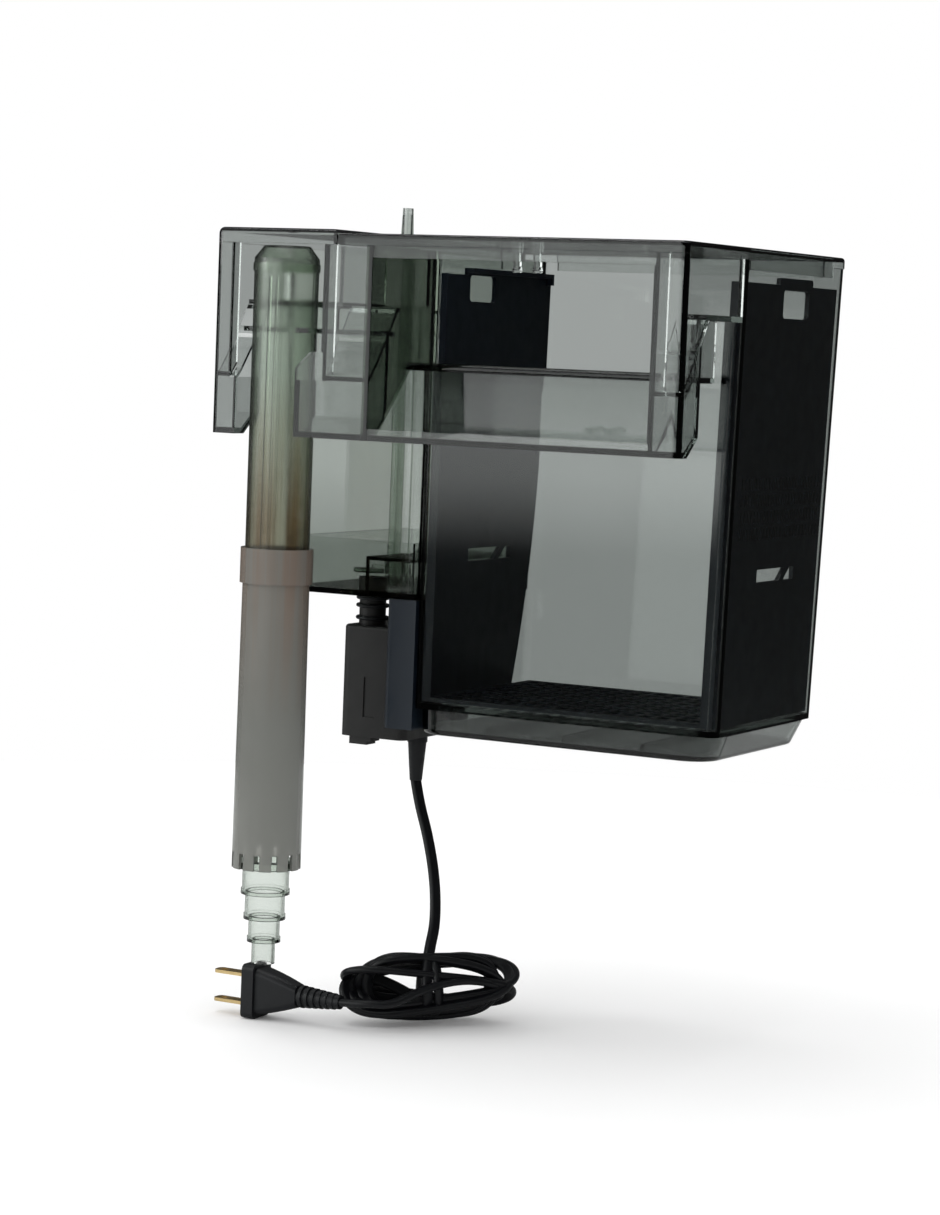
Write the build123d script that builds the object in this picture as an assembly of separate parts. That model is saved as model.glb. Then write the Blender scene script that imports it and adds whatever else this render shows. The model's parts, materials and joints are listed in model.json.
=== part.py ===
from build123d import *
import math
import os

# Hang on back aquarium filter, in millimetres.
# +X is to the right as seen from the aquarium, +Y points away from the aquarium, +Z is up.
# Heights below are measured from the underside of the two end bridges. The spillway's floor
# between them is lower and rests on the aquarium's rim. save() raises every sub-part so that
# the origin is in the middle of the underside of that floor.

os.makedirs("parts", exist_ok=True)

# ---- driving dimensions ----
width = 220.0  # whole filter, left to right
depth = 169.0  # whole filter, front to back
wall = 2.4  # moulded clear plastic
rim_gap = 20.0  # room for the aquarium's rim between the hook and the rear boxes
hook_depth = 37.0  # how far the hook reaches in front of the rim gap
lid_height = 5.0
top_height = 31.0  # main lid's top above the end bridges' underside
leg_drop = 55.0  # hook's bottom below the end bridges' underside
chamber_drop = 172.0
bay_drop = 125.0
pan_depth = 11.0
side_draft = 3.5  # how much the right wall leans in over the chamber's height
back_draft = 6.3
bay_width = 72.0
post_width = 14.0
tube_radius = 13.8
corner = 5.0
cord_width = 5.2

trough_bottom = -23.0  # spillway's floor, below the end bridges

# ---- positions that follow from them ----
rim_height = trough_bottom - wall
seam = 0.15  # gap at each seam between clear mouldings
left = -width / 2
right = width / 2
rear_front = rim_gap / 2
front = -rim_gap / 2 - hook_depth
back = front + depth
body_top = top_height - lid_height
cover_top = top_height + 1.5  # the intake cover stands a little above the main lid
divide = left + bay_width  # plane between the intake bay and the media chamber
partition = divide + 4.0  # middle of the hook's own partition
ledge = -31.0  # where the legs' sloping floors meet the front
leg_back = front + 18.0
bottom_step = leg_back - 10.0
post_right = right - post_width
tube_x = left + 26.0
tube_y = front + 16.0
slot_left = left + 12.0
slot_right = left + 41.5
window_right = left + 54.0
lid_split = left + 60.0
chamber_bottom = -chamber_drop
pan_bottom = chamber_bottom - pan_depth
bay_bottom = -bay_drop
bay_floor = bay_bottom + wall

# pump, under the intake bay
pump_x = left + 33.0
pump_y = front + 88.0
pump_top = -140.0
cover_bottom = -150.0
motor_bottom = -188.0
motor_left = pump_x - 9.5
motor_right = left + 56.6
motor_front = pump_y - 10.0
motor_back = motor_front + 40.0
neck_radius = 6.0
neck_top = bay_floor + 4.0
shaft_radius = 1.0
spigot_height = pump_top - 5.2
magnet_radius = 6.2
well_radius = 7.2
blade_radius = 7.6
volute_radius = 8.4
duct_left = left + 57.0

# flow control, above the pump
rod_x = left + 36.7
rod_y = front + 100.0
rod_radius = 2.9
paddle_reach = math.hypot(pump_x - rod_x, pump_y - rod_y)
paddle_open = 70.0  # degrees between the fully open paddle and the pump's inlet

# cord and plug, lying on a surface below the filter
floor_height = -314.0
cord_radius = cord_width / 2
plug_height = 24.0
bundle_height = 34.0


def block(x0, x1, y0, y1, z0, z1):
    """A plain box between two corners."""
    box = Box(x1 - x0, y1 - y0, z1 - z0)
    return Pos((x0 + x1) / 2, (y0 + y1) / 2, (z0 + z1) / 2) * box


def rod_z(radius, x, y, z0, z1):
    """A round bar standing along Z."""
    return Pos(x, y, (z0 + z1) / 2) * Cylinder(radius, z1 - z0)


def cone_z(bottom_radius, top_radius, x, y, z0, z1):
    """A tapered round bar standing along Z."""
    return Pos(x, y, (z0 + z1) / 2) * Cone(bottom_radius, top_radius, z1 - z0)


def rod_x_axis(radius, x0, x1, y, z):
    """A round bar lying along X."""
    return Pos((x0 + x1) / 2, y, z) * Rot(0, 90, 0) * Cylinder(radius, x1 - x0)


def plate_x(points, x0, x1):
    """A flat plate whose outline lies in the YZ plane."""
    outline = Plane.YZ.offset(x0) * Polyline(*points, close=True)
    return extrude(make_face(outline), x1 - x0, dir=(1, 0, 0))


def rounded_section(x0, x1, y0, y1, z, radius):
    """A rounded rectangle at one height."""
    middle = Pos((x0 + x1) / 2, (y0 + y1) / 2, z)
    return middle * RectangleRounded(x1 - x0, y1 - y0, radius)


def drafted(low, high, z0, z1, radius):
    """A moulded block whose bottom and top are rounded rectangles of different size."""
    return loft([rounded_section(*low, z0, radius), rounded_section(*high, z1, radius)])


def drafted_box(low, high, z0, z1, floor, thickness):
    """An open-topped moulded box with leaning walls."""
    inset_low = (low[0] + thickness, low[1] - thickness, low[2] + thickness, low[3] - thickness)
    inset_high = (high[0] + thickness, high[1] - thickness, high[2] + thickness, high[3] - thickness)
    outer = drafted(low, high, z0, z1, corner)
    inner_radius = corner - thickness
    inner = drafted(inset_low, inset_high, z0, z1, inner_radius)
    keep_floor = block(left, right, front, back, z0 - 1, z0 + floor)
    return outer - (inner - keep_floor)


def save(name, shape):
    """Write one sub-part to its own file, raised so that z = 0 is where the rim rests."""
    raised = Pos(0, 0, -rim_height) * shape
    raised.label = name
    export_step(raised, f"parts/{name}.step")


# ---- rear boxes ----
def intake_bay():
    """The left rear box: the pump draws from its floor."""
    lean = bay_drop + body_top
    low = (left + 4.8, divide - seam, rear_front + seam, back - back_draft * lean / (chamber_drop + body_top))
    high = (left, divide - seam, rear_front + seam, back)
    box = drafted_box(low, high, bay_bottom, body_top, wall, wall)
    way_in = block(left + wall + 2, divide - wall, rear_front - 1, rear_front + wall + 1, wall, body_top + 1)
    # low tray wall that stands on the floor, just inside the outer walls
    thick = 1.2
    tray_top = bay_floor + 22.0
    tray_outer = block(left + 8.2, divide - 3.2, rear_front + 3.2, back - 8.4, bay_floor - 0.2, tray_top)
    tray_inner = block(left + 8.2 + thick, divide - 3.2 - thick, rear_front + 3.2 + thick, back - 8.4 - thick,
                       bay_floor - 1, tray_top + 1)
    boss = rod_z(4.6, rod_x, rod_y, bay_floor - 0.2, neck_top)
    box = box - way_in + (tray_outer - tray_inner) + boss
    pump_hole = rod_z(neck_radius, pump_x, pump_y, bay_bottom - 1, bay_floor + 1)
    pivot_hole = rod_z(2.56, rod_x, rod_y, bay_floor + 0.6, neck_top + 1)
    return box - pump_hole - pivot_hole


def media_chamber():
    """The right rear box: water rises through the media and leaves over the bridge."""
    low = (divide, right - side_draft, rear_front + seam, back - back_draft)
    high = (divide, right, rear_front + seam, back)
    box = drafted_box(low, high, chamber_bottom, body_top, wall, wall)
    wall_back = rear_front + wall + 1
    way_out = block(partition + 1.2, post_right, rear_front - 1, wall_back, trough_bottom, body_top + 1)
    side_way = block(post_right - 1, right - 4, rear_front - 1, wall_back, wall, body_top + 1)
    box = box - way_out - side_way
    # the floor is open inside a ledge that carries the basket
    opening = block(divide + 10, right - 14, rear_front + 10, back - 18,
                    chamber_bottom - 1, chamber_bottom + wall + 1)
    return box - opening


def bottom_pan():
    """The shallow pan bonded under the media chamber, which spreads the pump's flow."""
    inset = 4.0
    big_corner = 14.0
    low = (divide, right - side_draft - inset, rear_front + 0.5, back - back_draft - inset)
    high = (divide, right - side_draft, rear_front, back - back_draft)
    pan_top = chamber_bottom - seam
    outer = drafted(low, high, pan_bottom, pan_top, big_corner)
    outer = fillet(outer.faces().sort_by(Axis.Z)[0].edges(), 2.0)
    low_in = (divide + wall, low[1] - wall, low[2] + wall, low[3] - wall)
    high_in = (divide + wall, high[1] - wall, high[2] + wall, high[3] - wall)
    inner = drafted(low_in, high_in, pan_bottom, pan_top, big_corner - wall)
    inner = inner - block(left, right, front, back, pan_bottom - 1, pan_bottom + wall)
    pan = outer - inner
    # stiffening ribs that stand on the pan's floor
    rib_count = 3
    for i in range(rib_count):
        x = divide + 36 + i * 37
        pan += block(x - 0.8, x + 0.8, rear_front + 4, back - 16,
                     pan_bottom + wall - 0.1, pan_bottom + wall + 3)
    port = block(divide - 1, divide + wall + 1, pump_y - 12, pump_y + 6,
                 pan_bottom + 3, chamber_bottom - 2.5)
    return pan - port


def outlet_duct():
    """The narrow box beside the pump that leads its flow into the pan."""
    duct_top = bay_bottom - 0.2
    outer = block(duct_left, divide - seam, rear_front + 1, pump_y + 20, pan_bottom + 1, duct_top)
    outer = fillet(outer.edges().filter_by(Axis.Z).group_by(Axis.X)[0], 3.0)
    inner = block(duct_left + wall, divide - wall, rear_front + 1 + wall, pump_y + 20 - wall,
                  pan_bottom + 1 + wall, duct_top - wall)
    port = block(divide - wall - 1, divide + 1, pump_y - 12, pump_y + 6,
                 pan_bottom + 3.4, chamber_bottom - 2.5)
    inlet = rod_x_axis(6.2, duct_left - 1, duct_left + wall + 1, pump_y, spigot_height)
    return outer - inner - port - inlet


# ---- hook over the aquarium's rim ----
channel_right = left + 50.0  # side wall of the channel that leads water from the tube to the bay
leg_curve = [
    (front + 24, 0),
    (front + 20.5, -4.5),
    (leg_back, -9),
]
end_outline = [
    (front, body_top),
    (rear_front, body_top),
    (rear_front, 0),
    *leg_curve,
    (leg_back, -leg_drop + 8),
    (bottom_step, -leg_drop),
    (front, -leg_drop),
]


def sloping_floor(x0, x1):
    """The floor inside a leg, which falls towards the front so that the leg drains."""
    thick = 2.0
    upper = [(front + 26, 1), (front + 24, 1), (leg_back, -9),
             (front + 11.5, -18), (front + 4.2, -27), (front, ledge)]
    lower = [(front, ledge - thick), (front + 4.2, -27 - thick), (front + 11.5, -18 - thick),
             (leg_back, -9 - thick), (front + 24, -thick), (front + 26, -0.4)]
    return plate_x(upper + lower, x0, x1)


def leg_box(x0, x1, inner_x):
    """The hollow lower leg: front, back, chamfered foot and the wall beside the opening."""
    front_wall = block(x0, x1, front, front + wall, -leg_drop, ledge)
    back_wall = block(x0, x1, leg_back - wall, leg_back, -leg_drop + 8, -9)
    foot = plate_x(
        [
            (leg_back, -leg_drop + 8),
            (bottom_step, -leg_drop),
            (front, -leg_drop),
            (front, -leg_drop + wall),
            (bottom_step - 1, -leg_drop + wall),
            (leg_back - wall, -leg_drop + 9),
        ],
        x0, x1,
    )
    inside = block(inner_x - 0.9, inner_x + 0.9, front, leg_back, -leg_drop + 1, ledge)
    inside = inside & plate_x(end_outline, inner_x - 1, inner_x + 1)
    return front_wall + back_wall + foot + inside


def spillway_hook():
    """The hook: bridge over the rim, legs inside the aquarium, and the chute for the outflow."""
    right_side = plate_x(end_outline, right - wall, right)
    left_side = plate_x(end_outline, left, left + wall)
    right_bridge = block(post_right, right, front + 24, rear_front, 0, wall)
    left_bridge = block(left, channel_right, front + 24, rear_front, 0, wall)
    channel_side = block(channel_right - 1.8, channel_right, front + 24, rear_front, 0, body_top)
    hook = right_side + left_side + right_bridge + left_bridge + channel_side

    # right post: front face, return wall beside the outflow, floor and leg
    hook += block(post_right, right, front, front + wall, ledge, body_top)
    hook += block(post_right, post_right + 1.8, front, front + 12, ledge, body_top)
    hook += sloping_floor(post_right, right - 0.5)
    hook += leg_box(post_right, right - 0.5, post_right + 0.9)

    # left post, narrower above the ledge
    hook += block(left, left + 9, front, front + wall, ledge, body_top)
    hook += block(left + 7.4, left + 9, front, front + 6, ledge, body_top)
    hook += sloping_floor(left + 0.5, slot_left)
    hook += leg_box(left + 0.5, slot_left, slot_left - 0.9)

    # panels between the intake tube and the outflow
    hook += block(window_right, partition, front, front + wall, ledge, body_top)
    hook += block(window_right, window_right + 1.8, front, front + 9, ledge, body_top)
    hook += sloping_floor(window_right, partition)
    hook += leg_box(slot_right, partition, slot_right + 0.9)
    gusset = Plane.XZ.offset(-front) * Polyline(
        (slot_right, ledge - 1),
        (slot_right, ledge + 5),
        (slot_right + 7, ledge + 12),
        (window_right + 1, ledge + 12),
        (window_right + 1, ledge - 1),
        close=True,
    )
    hook += extrude(make_face(gusset), wall, dir=(0, 1, 0))

    # partition between the intake side and the outflow
    partition_outline = [
        (front, body_top),
        (rear_front, body_top),
        (rear_front, 0),
        (-rim_gap / 2, 0),
        (-rim_gap / 2, trough_bottom),
        (bottom_step, -leg_drop),
        (front, -leg_drop),
    ]
    hook += plate_x(partition_outline, partition - wall / 2, partition + wall / 2)

    # chute: the spillway's floor over the rim, its side wall and the ramp to the water
    floor_front = -rim_gap / 2 - wall
    hook += block(partition, post_right + 1.8, floor_front, rear_front, rim_height, trough_bottom)
    hook += block(post_right, post_right + 1.8, floor_front, rear_front, rim_height, wall)
    hook += block(partition - wall / 2, partition + wall / 2, -rim_gap / 2, rear_front, rim_height, 1)
    run = -rim_gap / 2 - bottom_step
    fall = leg_drop + trough_bottom
    level_thickness = wall * math.hypot(run, fall) / fall
    ramp = [
        (-rim_gap / 2, trough_bottom),
        (-rim_gap / 2, rim_height),
        (bottom_step, -leg_drop),
        (bottom_step - level_thickness, -leg_drop),
        (-rim_gap / 2 - level_thickness, trough_bottom),
    ]
    hook += plate_x(ramp, partition, post_right + 1)
    hook += block(partition, post_right + 1, front, bottom_step, -leg_drop, -leg_drop + wall)
    hook += block(partition, post_right + 1, front, front + 1.8, -leg_drop, -leg_drop + 5)

    # bead along the top of the ramp
    bead = Pos((partition + post_right) / 2 + 0.5, floor_front - 0.6, trough_bottom - 1.2)
    hook += bead * Rot(0, 90, 0) * Cylinder(2.4, post_right - partition + 1)

    # closed pocket under the right bridge
    pocket_x = right - wall
    hook += block(post_right, pocket_x, leg_back, -rim_gap / 2, trough_bottom - 1.8, trough_bottom)
    hook += block(pocket_x - 2, pocket_x, leg_back, -rim_gap / 2, trough_bottom - 1.8, 0.5)

    # rail over the outflow that carries the lid's front edge
    hook += block(partition, post_right + 1, front, front + wall, body_top - 5, body_top)

    # shelf and seat around the intake tube
    hook += block(slot_left - 1, slot_right + 1.8, front + 7, front + 33, -11.2, -9.2)
    hook += block(slot_left - 1, slot_right + 1.8, front + 31, front + 33, -11.2, 1)
    hook += block(window_right + 4, partition, front + 7, front + 23, -11.2, -9.2)
    hook -= rod_z(tube_radius + 0.15, tube_x, tube_y, -leg_drop - 1, body_top + 1)
    outer_corners = hook.edges().filter_by(Axis.Z).filter_by(
        lambda e: abs(e.center().Y - front) < 0.01 and abs(abs(e.center().X) - right) < 0.01
    )
    return fillet(outer_corners, 3.5)


def bay_baffle():
    """A stepped plate on the bay's floor that keeps debris away from the pump's inlet."""
    x = left + 44.6
    upright = block(x, x + 1.8, rear_front + 4.8, back - 30, bay_floor, bay_floor + 15)
    shelf = block(x, divide - 4.8, rear_front + 4.8, back - 30, bay_floor + 13.4, bay_floor + 15)
    return upright + shelf


# ---- lids ----
def lid_shell(x0, x1, top, edge_round):
    """A flat lid with a short skirt that continues the body's walls."""
    outer = block(x0, x1, front, back, body_top + seam, top)
    vertical = outer.edges().filter_by(Axis.Z)
    outer_side = vertical.group_by(Axis.X)[-1] if x1 >= right else vertical.group_by(Axis.X)[0]
    outer = fillet(outer_side, 3.5)
    outer = fillet(outer.faces().sort_by(Axis.Z)[-1].edges(), edge_round)
    inner = block(x0 + wall, x1 - wall, front + wall, back - wall, body_top - 1, top - 2.0)
    return outer - inner


def main_lid():
    """The lid over the media chamber and the outflow."""
    lid = lid_shell(lid_split + 0.3, right, top_height, 1.6)
    under = top_height - 2.0
    lid += block(right - wall - 2.2, right - wall - 0.6, rear_front + 10, back - 12,
                 body_top - 4, under + 0.1)
    lid += block(divide + 8, right - 12, back - wall - 2.2, back - wall - 0.6, body_top - 4, under + 0.1)
    # two sprung hooks behind the front rail
    hook_end = body_top - 8.2
    hook_y = front + wall + 1.8
    for x in (left + 142.7, left + 152.0):
        stem = block(x - 1.1, x + 1.1, hook_y - 1.2, hook_y + 1.6, hook_end, under + 0.1)
        toe = Pos(x, hook_y + 0.2, hook_end) * Rot(0, 90, 0) * Cylinder(1.3, 3.4)
        brace = block(x - 2.6, x + 2.6, hook_y - 0.6, hook_y + 0.6, body_top - 1.5, under + 0.1)
        lid += stem + toe + brace
    # finger recess at the back edge
    recess = Pos((lid_split + right) / 2, back, top_height) * Cylinder(9.0, 2.4)
    return lid - recess


def intake_cover():
    """The cover over the intake bay and tube; the flow control comes up through it."""
    cover = lid_shell(left, lid_split - 0.3, cover_top, 2.6)
    cover -= rod_z(3.6, rod_x, rod_y, body_top - 1, cover_top + 1)
    lip = block(left + 12, lid_split - 12, back - wall - 2.4, back - wall - 0.8,
                body_top - 4, cover_top - 1.9)
    return cover + lip


# ---- intake tube ----
tube_top = body_top - 8.0
tube_end = -112.0
socket_top = -103.5
socket_bottom = -118.6
extension_end = -242.0
rib_angles = (-92, -77, -67)


def tube_ribs(radius, z0, z1):
    """Fine moulded ribs down the inside of a tube, rooted in its wall."""
    ribs = Part()
    for angle in rib_angles:
        spot = Pos(tube_x, tube_y, (z0 + z1) / 2) * Rot(0, 0, angle) * Pos(radius + 0.1, 0, 0)
        ribs += spot * Box(2.0, 0.9, z1 - z0)
    return ribs


def intake_tube():
    """The upper intake tube; its window opens into the bay above the bridge."""
    tube = rod_z(tube_radius, tube_x, tube_y, tube_end, tube_top)
    tube -= rod_z(tube_radius - 1.6, tube_x, tube_y, tube_end - 1, tube_top + 1)
    tube += tube_ribs(tube_radius - 1.6, tube_end, tube_top - 6)
    window = block(tube_x - 8, tube_x + 8, tube_y, tube_y + 20, 3.2, tube_top - 4)
    return tube - window


def tube_cap():
    """The closed cap on top of the intake tube."""
    skirt = rod_z(tube_radius + 0.5, tube_x, tube_y, tube_top - 3.5, tube_top)
    skirt -= rod_z(tube_radius, tube_x, tube_y, tube_top - 4, tube_top + 1)
    crown = rod_z(tube_radius + 0.1, tube_x, tube_y, tube_top, tube_top + 2)
    crown += cone_z(tube_radius + 0.1, 9.8, tube_x, tube_y, tube_top + 2, tube_top + 7.4)
    return skirt + crown - cone_z(tube_radius - 1.8, 9.0, tube_x, tube_y, tube_top - 0.1, tube_top + 5.8)


def extension_tube():
    """The lower tube, pushed onto the upper one, with a notched lower end."""
    top_radius = 14.4
    end_radius = 15.0
    thick = 1.5
    socket = rod_z(15.65, tube_x, tube_y, socket_bottom, socket_top)
    body = cone_z(end_radius, top_radius, tube_x, tube_y, extension_end, socket_bottom)
    bore = cone_z(end_radius - thick, top_radius - thick, tube_x, tube_y, extension_end - 0.01, socket_bottom)
    tube = socket + body - bore
    tube -= rod_z(top_radius - thick, tube_x, tube_y, socket_bottom - 0.01, tube_end)
    tube -= rod_z(tube_radius + 0.06, tube_x, tube_y, tube_end - 0.1, socket_top + 1)
    tube += tube_ribs(top_radius - thick, extension_end + 12, tube_end - 0.5)
    notch_count = 12
    for i in range(notch_count):
        turn = Rot(0, 0, 360 / notch_count * (i + 0.5))
        tube -= Pos(tube_x, tube_y, extension_end + 3) * turn * Pos(end_radius, 0, 0) * Box(8, 2.6, 8)
    return tube


def stepped_adapter():
    """The stepped hose adapter in the lower tube's end."""
    radii = (10.2, 8.7, 6.85, 5.1)
    heights = (extension_end, -253.5, -264.5, -274.5, -284.0)
    thick = 1.3
    flange_radius = 13.44
    flange_top = extension_end + 3
    body = rod_z(flange_radius, tube_x, tube_y, extension_end, flange_top)
    bore = rod_z(radii[0] - thick, tube_x, tube_y, extension_end, flange_top + 1)
    last = len(radii) - 1
    for i, radius in enumerate(radii):
        low = heights[i + 1]
        body += rod_z(radius, tube_x, tube_y, low, heights[i])
        if i == last:
            bore += rod_z(radius - thick, tube_x, tube_y, low - 1, heights[i] + 0.1)
        else:
            # each wider step ends in a small collar above the next one
            body += rod_z(radius + 0.45, tube_x, tube_y, low, low + 2.2)
            bore += rod_z(radius - thick, tube_x, tube_y, low + thick, heights[i] + 0.1)
            bore += rod_z(radii[i + 1] - thick, tube_x, tube_y, low - 0.1, low + thick)
    return body - bore


# ---- flow control ----
def flow_rod():
    """The clear control rod: its notched head stands above the cover."""
    rod = rod_z(2.5, rod_x, rod_y, bay_floor + 0.8, neck_top)
    rod += rod_z(rod_radius, rod_x, rod_y, neck_top, top_height)
    rod += cone_z(rod_radius, 2.35, rod_x, rod_y, top_height, 46.2)
    rod -= rod_z(1.5, rod_x, rod_y, 34, 47)
    rod -= block(rod_x - 4, rod_x + 4, rod_y - 0.8, rod_y + 0.8, 43.2, 47)
    return rod


def valve_paddle():
    """The paddle on the rod's foot, which swings over the pump's inlet."""
    towards_pump = math.degrees(math.atan2(pump_y - rod_y, pump_x - rod_x))
    open_angle = towards_pump - paddle_open
    low = neck_top + 1.0
    hub = rod_z(4.8, rod_x, rod_y, low, low + 6)
    place = Pos(rod_x, rod_y, low) * Rot(0, 0, open_angle)
    arm = place * Pos(paddle_reach / 2, 0, 0.8) * Box(paddle_reach, 3.4, 1.6)
    disc = place * Pos(paddle_reach, 0, 0.8) * Cylinder(6.6, 1.6)
    rib = place * Pos(paddle_reach / 2 + 1, 0, 2.4) * Box(paddle_reach - 4, 1.4, 2.4)
    return hub + arm + disc + rib - rod_z(rod_radius, rod_x, rod_y, low - 1, low + 7)


# ---- media basket: two side walls clipped to a grid floor ----
basket_left = divide + wall + 0.9
basket_front = rear_front + 3.6
basket_bottom = chamber_bottom + wall + 0.8
basket_top = 17.0
basket_wall = 2.0
basket_low = (basket_left, right - side_draft - wall - 1.1, basket_front, back - back_draft - wall - 1.3)
basket_high = (basket_left, right - wall - 1.3, basket_front, back - wall - 2.8)
left_hole = (basket_front + 25.4, basket_front + 49.4, 5.5, basket_top)  # y and z ranges
right_hole = (basket_front + 44.4, basket_front + 72.4, 3.0, 15.0)


def basket_block():
    """The space that the basket fills, leaning like the chamber around it."""
    sections = []
    for (x0, x1, y0, y1), z in ((basket_low, basket_bottom), (basket_high, basket_top)):
        sections.append(Pos((x0 + x1) / 2, (y0 + y1) / 2, z) * Rectangle(x1 - x0, y1 - y0))
    return loft(sections)


def basket_slits(x0, x1):
    """Four rows of fine upright slits."""
    row_count = 4
    slit_count = 24
    pitch = 3.6
    row_pitch = 7.0
    first_y = basket_front + 13
    first_z = -64.5
    slits = []
    for row in range(row_count):
        z = first_z - row * row_pitch
        for i in range(slit_count):
            y = first_y + i * pitch
            slits.append(block(x0, x1, y - 0.75, y + 0.75, z - 5.0, z))
    return slits


def basket_slot(x0, x1):
    """The long slot under the slits, crossed by a slanting strut."""
    y0 = basket_front + 34
    slot = block(x0, x1, y0, y0 + 40, -109, -103.4)
    strut = Pos((x0 + x1) / 2, y0 + 30, -106) * Rot(-50, 0, 0) * Box(x1 - x0, 3.0, 20)
    return slot - strut


def finger_hole(x0, x1, ranges):
    """The hole by which the basket is lifted."""
    hole = block(x0, x1, *ranges)
    return fillet(hole.edges().filter_by(Axis.X), 2.0)


def behind_back_edge(x0, x1):
    """The space behind the left wall's back edge, which curves forward towards the floor."""
    plane = Plane.YZ.offset(x0)
    upper = (basket_front + 100.4, -30)
    middle = (basket_front + 94.4, -110)
    lower = (basket_front + 80.4, basket_bottom)
    edge = ThreePointArc(upper, middle, lower)
    rest = Polyline(lower, (lower[0], basket_bottom - 5), (back, basket_bottom - 5), (back, -30), upper)
    return extrude(make_face(plane * (edge + rest)), x1 - x0, dir=(1, 0, 0))


def basket_left_side():
    """Side wall next to the pump bay, with a raised flange over its finger hole."""
    x0 = basket_left
    outer = basket_block()
    side = outer - Pos(basket_wall, 0, 0) * outer
    side += block(x0, x0 + 4.5, basket_front, basket_front + 2, basket_bottom + 2, basket_top)
    flange_front = basket_front + 23.4
    flange_back = basket_front + 100.4
    side += block(x0, x0 + basket_wall, flange_front, flange_back, basket_top - 1, basket_top + 3)
    side += block(x0, x0 + 5, flange_front, flange_back, basket_top + 1, basket_top + 3)
    side += block(x0, x0 + 5, flange_back - 2, flange_back, basket_top - 2, basket_top + 3)
    side -= behind_back_edge(x0 - 1, x0 + 8)
    return side - finger_hole(x0 - 1, x0 + 8, left_hole) - basket_slot(x0 - 1, x0 + 3)


def basket_right_side():
    """The leaning side wall, with rows of slits."""
    x1 = basket_high[1]
    outer = basket_block()
    side = outer - Pos(-basket_wall, 0, 0) * outer
    frame = outer - Pos(-5, 0, 0) * outer
    side += frame & block(left, right, basket_front, basket_front + 2, basket_bottom + 2, basket_top)
    side += block(x1 - 5, x1 - 0.2, basket_front, basket_high[3] - 2, basket_top - 2, basket_top)
    tab = block(x1 - basket_wall - 0.2, x1 - 0.2, right_hole[0] - 4, right_hole[1] + 4,
                basket_top - 1, basket_top + 3)
    side += fillet(tab.edges().filter_by(Axis.X).group_by(Axis.Z)[-1], 1.5)
    side -= finger_hole(x1 - 8, x1 + 1, right_hole)
    side -= basket_slot(x1 - 8, x1 + 1)
    return side - basket_slits(x1 - 8, x1 + 1)


def basket_floor():
    """The grid that carries the filter media, between the two side walls."""
    x0 = basket_low[0] + basket_wall
    x1 = basket_low[1] - basket_wall
    y0, y1 = basket_low[2], basket_low[3]
    floor = block(x0, x1, y0, y1, basket_bottom, basket_bottom + basket_wall)
    columns = 16
    rows = 10
    margin = 3.0
    bar = 2.4
    pitch_x = (x1 - x0 - 2 * margin) / columns
    pitch_y = (y1 - y0 - 2 * margin) / rows
    hole = Box(pitch_x - bar, pitch_y - bar, basket_wall + 2)
    middle_z = basket_bottom + basket_wall / 2
    holes = [
        Pos(x0 + margin + pitch_x * (i + 0.5), y0 + margin + pitch_y * (j + 0.5), middle_z) * hole
        for i in range(columns)
        for j in range(rows)
    ]
    return floor - holes


# ---- pump ----
def pump_cover():
    """The pump's top half: inlet neck, impeller chamber and outlet spigot."""
    body = block(motor_left, motor_right, motor_front, motor_back, cover_bottom, pump_top)
    body = fillet(body.edges().filter_by(Axis.Z), 4.0)
    body = fillet(body.faces().sort_by(Axis.Z)[-1].edges(), 1.5)
    body += rod_z(neck_radius - 0.02, pump_x, pump_y, pump_top, neck_top)
    body += rod_x_axis(4.6, motor_right - 1, duct_left + wall + 3, pump_y, spigot_height)
    body -= rod_z(volute_radius, pump_x, pump_y, cover_bottom - 1, cover_bottom + 6.5)
    body -= rod_z(4.2, pump_x, pump_y, cover_bottom + 6, neck_top + 1)
    body -= rod_x_axis(3.0, pump_x + 5, duct_left + wall + 4, pump_y, spigot_height)
    for z in neck_ring_heights:
        body -= Pos(pump_x, pump_y, z) * Torus(6.6, 0.95)
    # bridge across the inlet that holds the shaft's upper bushing
    bridge = block(pump_x - 4.6, pump_x + 4.6, pump_y - 0.8, pump_y + 0.8,
                   cover_bottom + 6.5, cover_bottom + 9.5)
    bridge += rod_z(2.9, pump_x, pump_y, cover_bottom + 6.5, cover_bottom + 9.5)
    bridge -= rod_z(2.2, pump_x, pump_y, cover_bottom + 6, cover_bottom + 8.5)
    return body + bridge


neck_ring_heights = (-128.0, -131.5, -137.0)


def neck_o_rings():
    """Rubber rings that seal the pump's neck."""
    return Compound([Pos(pump_x, pump_y, z) * Torus(6.6, 0.9) for z in neck_ring_heights])


def outlet_o_ring():
    """The rubber ring around the outlet spigot."""
    ring = rod_x_axis(6.15, duct_left + 0.2, duct_left + wall - 0.2, pump_y, spigot_height)
    return ring - rod_x_axis(4.62, duct_left, duct_left + wall, pump_y, spigot_height)


def motor_housing():
    """The potted motor's case, with a well for the rotor and room for the winding."""
    body = block(motor_left, motor_right, motor_front, motor_back, motor_bottom, cover_bottom)
    body = fillet(body.edges().filter_by(Axis.Z), 4.0)
    body -= rod_z(well_radius, pump_x, pump_y, cover_bottom - 26, cover_bottom + 1)
    body -= rod_z(2.2, pump_x, pump_y, cover_bottom - 28.5, cover_bottom - 25)
    body -= block(motor_left + 1.6, motor_right - 1.6, pump_y + 8.6, motor_back - 1.6,
                  motor_bottom - 1, cover_bottom - 4)
    # shallow recess down the front face
    body -= block(motor_left + 12, motor_left + 18, motor_front - 1, motor_front + 0.6, -181, -163)
    for x, y in screw_places:
        body -= rod_z(1.25, x, y, cover_bottom - 9, cover_bottom + 1)
    return body


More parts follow.
